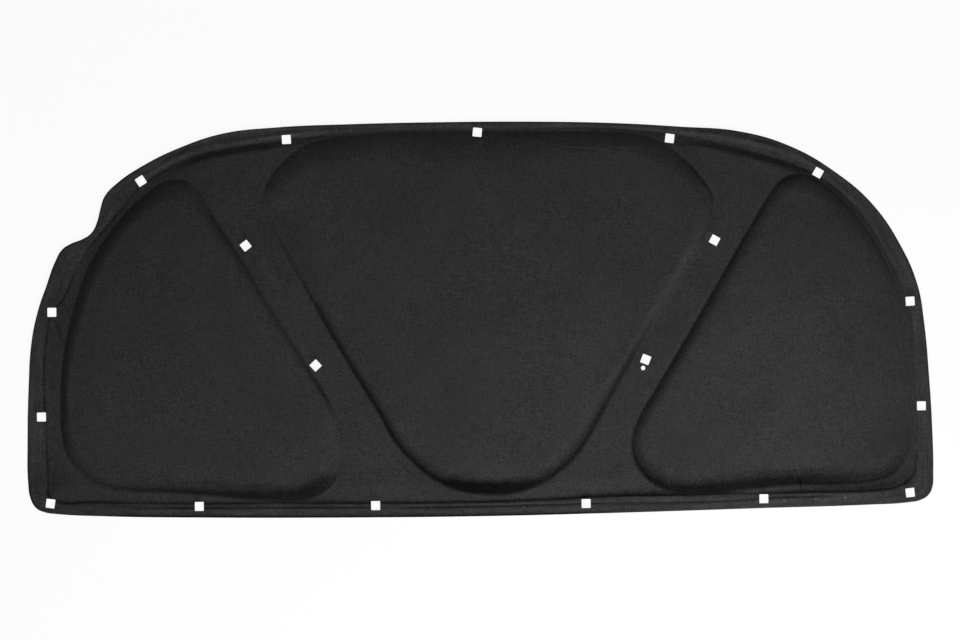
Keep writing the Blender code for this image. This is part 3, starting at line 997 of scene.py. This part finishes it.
face_felt, tree, shader = new_material("moulded_felt_face", (FELT, FELT, FELT))
set_inputs(shader, Metallic=0.0)
shader.inputs["Sheen Roughness"].default_value = 0.5
coordinates = add_node(tree, "ShaderNodeTexCoord", (-1700, 0))
place = coordinates.outputs["Object"]
grain_node = place_grain(tree, (-1300, 200), place, 1.0)
painted_shade_mask, rim_share, edge_mm, marks_and_painted_light = (
    add_node(tree, "ShaderNodeAttribute", at, attribute_name=name).outputs["Fac"]
    for name, at in (
        ("painted_shade", (-1300, -100)), ("rim", (-1300, -300)), ("edge_mm", (-1300, -500)),
        ("marks_and_painted_light", (-1000, -200)),
    )
)

# %% Grain and clouds
GRAIN_CONTRAST = 3.8
CLOUD_CONTRAST = 0.5
CLOUDS = 9.0

clouds = stretched_noise(tree, place, None, (1.0, 1.0), CLOUDS, (-1300, 600), 3.0)
tone = around_one(tree, (-900, 300), grain_node.outputs["Tone"], GRAIN_CONTRAST)
cloud = around_one(tree, (-900, 500), clouds, CLOUD_CONTRAST)
tone = math_node(tree, "MULTIPLY", (-700, 400), tone, cloud)

# %% Painted shade, which the fibres break up where it fades, and the marks with their painted light
FIBRE_BREAKUP = -3.0
PAINTED_SHADE_DEPTH = 0.95
FELT_SHINE = 0.12
FELT_SHEEN = 0.02

outside_painted_shade = math_node(tree, "SUBTRACT", (-1100, 0), 1.0, painted_shade_mask)
fading = math_node(tree, "MULTIPLY", (-1100, -150), outside_painted_shade, painted_shade_mask)
fibre = math_node(tree, "SUBTRACT", (-1000, 100), grain_node.outputs["Tone"], 0.5)
fibre = math_node(tree, "MULTIPLY", (-900, 100), fibre, fading)
broken_painted_shade = math_node(tree, "MULTIPLY_ADD", (-850, 0), fibre, FIBRE_BREAKUP, painted_shade_mask)
# the painted shade takes the felt's colour down towards black
dark = math_node(tree, "MULTIPLY_ADD", (-700, 0), broken_painted_shade, -PAINTED_SHADE_DEPTH, 1.0)
# where shade is painted, the specular level and the sheen drop with it
shine = math_node(tree, "MULTIPLY", (-700, -350), outside_painted_shade, FELT_SHINE)
tree.links.new(shine, shader.inputs["Specular IOR Level"])
sheen = math_node(tree, "MULTIPLY", (-700, -450), outside_painted_shade, FELT_SHEEN)
tree.links.new(sheen, shader.inputs["Sheen Weight"])
# the marks add wear, painted highlights and painted shade
dark = math_node(tree, "ADD", (-600, -50), dark, marks_and_painted_light)
tone = math_node(tree, "MULTIPLY", (-500, 300), tone, dark)

# %% Streaks along the rim: slow over the plan, and quick away from the edge
ALONG = 14.0
AWAY = 0.20
STREAK_CONTRAST = 1.2
STREAK_LIFT = 0.04

split = add_node(tree, "ShaderNodeSeparateXYZ", (-1300, -750))
tree.links.new(place, split.inputs[0])
streak_place = add_node(tree, "ShaderNodeCombineXYZ", (-900, -700))
streak_axes = ((split.outputs[0], ALONG), (split.outputs[1], ALONG), (edge_mm, AWAY))
for number, (source, cycles) in enumerate(streak_axes):
    scaled = math_node(tree, "MULTIPLY", (-1100, -650 - 150 * number), source, cycles)
    tree.links.new(scaled, streak_place.inputs[number])
streaks = add_node(tree, "ShaderNodeTexNoise", (-700, -700))
set_inputs(streaks, Scale=1.0, Detail=2.0, Roughness=0.55)
tree.links.new(streak_place.outputs[0], streaks.inputs["Vector"])
streak_tone = around_one(tree, (-500, -600), streaks.outputs["Fac"], STREAK_CONTRAST, STREAK_LIFT)
rim_tone = math_node(tree, "SUBTRACT", (-350, -600), streak_tone, 1.0)
rim_tone = math_node(tree, "MULTIPLY", (-200, -500), rim_tone, rim_share)
rim_tone = math_node(tree, "ADD", (-50, -400), rim_tone, 1.0)
tone = math_node(tree, "MULTIPLY", (100, 200), tone, rim_tone)

# %% The face's colour, roughness and bump
FIELD_ROUGHNESS = 0.93
RIM_SMOOTHER = -0.16


def colour_to(tree, shader, at, colour, tone):
    scaled = add_node(tree, "ShaderNodeVectorMath", at, operation="SCALE")
    scaled.inputs[0].default_value = colour
    tree.links.new(tone, scaled.inputs["Scale"])
    tree.links.new(scaled.outputs[0], shader.inputs["Base Color"])


def bump_to(tree, shader, at, height, strength, distance):
    bump = add_node(tree, "ShaderNodeBump", at)
    set_inputs(bump, Strength=strength, Distance=distance)
    tree.links.new(height, bump.inputs["Height"])
    tree.links.new(bump.outputs[0], shader.inputs["Normal"])


colour_to(tree, shader, (300, 200), (FELT, FELT * COOL, FELT * COOL), tone)
rough = math_node(tree, "MULTIPLY_ADD", (300, -100), rim_share, RIM_SMOOTHER, FIELD_ROUGHNESS)
tree.links.new(rough, shader.inputs["Roughness"])
surface = math_node(tree, "MULTIPLY", (0, -700), streaks.outputs["Fac"], rim_share)
surface = math_node(tree, "MULTIPLY_ADD", (150, -700), surface, 0.7, grain_node.outputs["Height"])
bump_to(tree, shader, (300, -300), surface, 0.55, 0.0006)
print("Face material:", len(tree.nodes), "nodes")

# %% The back's material: the same felt, greyer and coarser
BACK_FELT = (0.036, 0.036, 0.037)
BACK_GRAIN_SIZE = 1.8
BACK_CONTRAST = 1.8

back_felt, tree, shader = new_material("needled_felt_back", (0.035, 0.035, 0.035))
set_inputs(shader, Metallic=0.0, Roughness=0.95)
shader.inputs["Specular IOR Level"].default_value = 0.2
coordinates = add_node(tree, "ShaderNodeTexCoord", (-1100, 0))
grain_node = place_grain(tree, (-800, 200), coordinates.outputs["Object"], BACK_GRAIN_SIZE)
tone = around_one(tree, (-500, 200), grain_node.outputs["Tone"], BACK_CONTRAST)
colour_to(tree, shader, (-300, 200), BACK_FELT, tone)
bump_to(tree, shader, (-300, -200), grain_node.outputs["Height"], 0.7, 0.001)
print("Back material:", len(tree.nodes), "nodes")

# %% Give the downward faces the back's felt
DOWNWARD = -0.5
mesh.materials.append(face_felt)
mesh.materials.append(back_felt)
for polygon in mesh.polygons:
    polygon.material_index = 1 if polygon.normal.z < DOWNWARD else 0
print("Faces of the back:", sum(polygon.material_index for polygon in mesh.polygons))

# %% Register the pad
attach(pad, "root")
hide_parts("insulation_pad")

# %% [markdown]
# ## Floor, light and camera
#
# The photograph was taken from straight above on white. The floor is white to the camera and keeps
# a little of the pad's shadow. One wide soft lamp stands beyond the straight edge and a little to
# the right, because the felt grows lighter that way, and a pale world fills in from all sides.


# %% Tell apart what the camera sees from what lights the pad
def seen_by(tree, at, first_kind, *more_kinds):
    """1 for rays of any of the kinds, such as the camera's, and 0 for all others."""
    path = add_node(tree, "ShaderNodeLightPath", at)
    seen = path.outputs[first_kind]
    for number, kind in enumerate(more_kinds):
        beside = (at[0] + 250 + 150 * number, at[1])
        seen = math_node(tree, "MAXIMUM", beside, seen, path.outputs[kind])
    return seen


# %% A pale floor that the camera sees as white
FLOOR_WHITE = 0.93
PAPER = (0.9, 0.9, 0.9, 1)

bpy.ops.mesh.primitive_plane_add(size=14, location=(0, 0, -0.0005))
floor = bpy.context.active_object
floor.name = "floor"
paper = bpy.data.materials.new("white_paper")
paper.use_nodes = True
tree = paper.node_tree
tree.nodes.clear()
output = add_node(tree, "ShaderNodeOutputMaterial", (600, 0))
matt = add_node(tree, "ShaderNodeBsdfDiffuse", (0, -150))
matt.inputs["Color"].default_value = PAPER
glow = add_node(tree, "ShaderNodeEmission", (0, 50))
seen = seen_by(tree, (-500, 300), "Is Camera Ray", "Is Glossy Ray", "Is Transmission Ray")
seen = math_node(tree, "MULTIPLY", (50, 300), seen, FLOOR_WHITE)
mix = add_node(tree, "ShaderNodeMixShader", (350, 0))
for number, source in enumerate((seen, matt.outputs[0], glow.outputs[0])):
    tree.links.new(source, mix.inputs[number])
tree.links.new(mix.outputs[0], output.inputs[0])
floor.data.materials.append(paper)

# %% A pale world, white to the camera
WORLD_LIGHT = 0.19

world = bpy.data.worlds.new("pale_room")
bpy.context.scene.world = world
world.use_nodes = True
tree = world.node_tree
background = tree.nodes["Background"]
background.inputs["Color"].default_value = (1, 1, 1, 1)
seen = seen_by(tree, (-700, 0), "Is Camera Ray", "Is Transmission Ray")
strength = math_node(tree, "MULTIPLY_ADD", (-250, 0), seen, 1.0 - WORLD_LIGHT, WORLD_LIGHT)
tree.links.new(strength, background.inputs["Strength"])

# %% The lamp
LAMP_PLACE = Vector((0.43, -1.15, 1.05))
LAMP_TARGET = Vector((0.15, -0.08, 0))
LAMP_SIZE = 1.1
LAMP_WATTS = 29.6

bpy.ops.object.light_add(type="AREA", location=LAMP_PLACE)
lamp = bpy.context.active_object
lamp.name = "overhead_lamp"
lamp.data.shape = "SQUARE"
lamp.data.size = LAMP_SIZE
lamp.data.energy = LAMP_WATTS
lamp.rotation_euler = (LAMP_TARGET - LAMP_PLACE).to_track_quat("-Z", "Y").to_euler()
print("Lamp to pad in m:", round((LAMP_TARGET - LAMP_PLACE).length, 2))

# %% The camera, straight above
# One pixel of a 960 by 640 picture is 1.4365 mm at the height of the pad's rim. The camera is turned
# a little, because the pad lies a little turned in the photograph.
PICTURE_WIDTH = 960
PIXEL_MM = 1.4365
FRAME_WIDTH = PICTURE_WIDTH * PIXEL_MM * MM
CAMERA_PLACE = (0.00206, -0.00146, 5.0)
CAMERA_TURN = -0.0125
SCALE_HEIGHT = 0.003
SENSOR_WIDTH = 36

bpy.ops.object.camera_add(location=CAMERA_PLACE, rotation=(0, 0, CAMERA_TURN))
camera = bpy.context.active_object
camera.data.sensor_width = SENSOR_WIDTH
camera.data.lens = SENSOR_WIDTH * (CAMERA_PLACE[2] - SCALE_HEIGHT) / FRAME_WIDTH
camera.data.clip_end = 50
bpy.context.scene.camera = camera
bpy.context.scene.view_settings.view_transform = "Standard"
print("Lens in mm:", round(camera.data.lens, 1))
